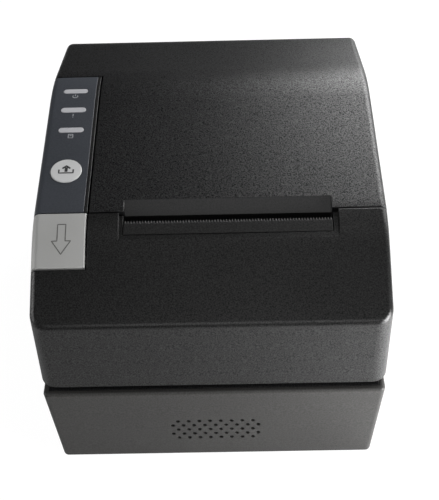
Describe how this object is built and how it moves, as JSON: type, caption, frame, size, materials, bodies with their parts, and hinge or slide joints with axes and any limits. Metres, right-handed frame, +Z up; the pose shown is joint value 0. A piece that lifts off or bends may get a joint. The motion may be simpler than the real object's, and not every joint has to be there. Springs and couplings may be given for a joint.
{
  "type": "receipt printer",
  "caption": "Desktop thermal receipt printer with a hinged lid, tipping front cover, paper well, print mechanism, cutter and control panel.",
  "frame": {"origin": "middle of the footprint, on the floor", "axes": "+X to the right as seen from the front, +Y to the rear, +Z up"},
  "size_m": [0.148, 0.1938, 0.1215],
  "materials": {
    "case_black": "fine texture",
    "case_grey": "fine texture",
    "panel_grey": "satin film",
    "lamp": "satin",
    "button_grey": "satin",
    "lever_silver": "satin silver paint",
    "rubber": "matt",
    "steel": "brushed",
    "alu": "satin",
    "white_plastic": "moulded",
    "ceramic": "glazed",
    "board": "solder mask",
    "socket_black": "moulded",
    "socket_metal": "plated",
    "knob_green": "moulded"
  },
  "bodies": {
    "printer": {"base_housing": "case_grey", "case_screw_front_left": "steel", "case_screw_front_right": "steel", "case_screw_rear_left": "steel", "case_screw_rear_right": "steel", "control_panel": "panel_grey", "cover_pin_left": "steel", "cover_pin_right": "steel", "cutter_frame": "steel", "cutter_motor": "steel", "drawer_socket": "socket_black", "feed_motor": "steel", "foot_front_left": "rubber", "foot_front_right": "rubber", "foot_rear_left": "rubber", "foot_rear_right": "rubber", "head_bar": "steel", "head_heatsink": "alu", "idler_axle": "steel", "lamp_error": "lamp", "lamp_paper": "lamp", "lamp_power": "lamp", "lan_socket": "socket_metal", "lever_pin": "steel", "lid_pin_left": "steel", "lid_pin_right": "steel", "main_board": "board", "mech_plate_left": "steel", "mech_plate_right": "steel", "panel_board": "board", "paper_well": "case_black", "power_inlet": "socket_black", "print_head": "ceramic", "switch_frame": "socket_black", "upper_housing": "case_black", "usb_socket": "socket_metal"},
    "lid": {"lid_shell": "case_black", "lid_frame": "case_black", "platen_bush_left": "white_plastic", "platen_bush_right": "white_plastic", "fixed_blade": "steel"},
    "platen": {"platen_roller": "rubber", "platen_shaft": "steel", "platen_gear": "white_plastic"},
    "front_cover": {"front_cover": "case_black", "tear_bar": "case_black"},
    "lever": {"release_lever": "lever_silver"},
    "button": {"feed_button": "button_grey"},
    "idler": {"idler_gear": "white_plastic"},
    "rotor": {"motor_pinion": "white_plastic"},
    "cutter": {"cutter_shaft": "steel", "cutter_knob": "knob_green"},
    "blade": {"moving_blade": "steel"},
    "rocker": {"power_rocker": "socket_black"}
  },
  "joints": [
    {"name": "lid_hinge", "type": "hinge", "parent": "printer", "child": "lid", "pos_m": [0, 0.0772, 0.0956], "axis": [-1, 0, 0], "range_deg": [0, 80]},
    {"name": "platen_spin", "type": "hinge", "parent": "lid", "child": "platen", "pos_m": [0.0075, -0.037, 0.0848], "axis": [1, 0, 0], "continuous": true},
    {"name": "idler_spin", "type": "hinge", "parent": "printer", "child": "idler", "pos_m": [0.0595, -0.035, 0.06369], "axis": [1, 0, 0], "continuous": true},
    {"name": "motor_spin", "type": "hinge", "parent": "printer", "child": "rotor", "pos_m": [0.0595, -0.05138, 0.05576], "axis": [1, 0, 0], "continuous": true},
    {"name": "front_cover_hinge", "type": "hinge", "parent": "printer", "child": "front_cover", "pos_m": [0, -0.0885, 0.06], "axis": [1, 0, 0], "range_deg": [0, 65]},
    {"name": "lever_pivot", "type": "hinge", "parent": "printer", "child": "lever", "pos_m": [-0.062, -0.052, 0.103], "axis": [1, 0, 0], "range_deg": [0, 5], "stiffness_Nm_per_rad": 1.2},
    {"name": "feed_press", "type": "slide", "parent": "printer", "child": "button", "axis": [0, 0.1084, -0.9941], "range_m": [0, 0.0008], "stiffness_N_per_m": 900},
    {"name": "cutter_spin", "type": "hinge", "parent": "printer", "child": "cutter", "pos_m": [0.0075, -0.066, 0.0874], "axis": [-1, 0, 0], "range_deg": [0, 101.91]},
    {"name": "blade_slide", "type": "slide", "parent": "printer", "child": "blade", "axis": [0, 1, 0], "range_m": [0, 0.008]},
    {"name": "power_switch", "type": "hinge", "parent": "printer", "child": "rocker", "pos_m": [0.0444, 0.091, 0.0226], "axis": [-1, 0, 0], "range_deg": [0, 16]}
  ],
  "couplings": [
    {"joint": "idler_spin", "follows": "platen_spin", "ratio": -0.75},
    {"joint": "motor_spin", "follows": "platen_spin", "ratio": 1.5},
    {"joint": "cutter_spin", "follows": "blade_slide", "rad_per_m": 222.22}
  ]
}
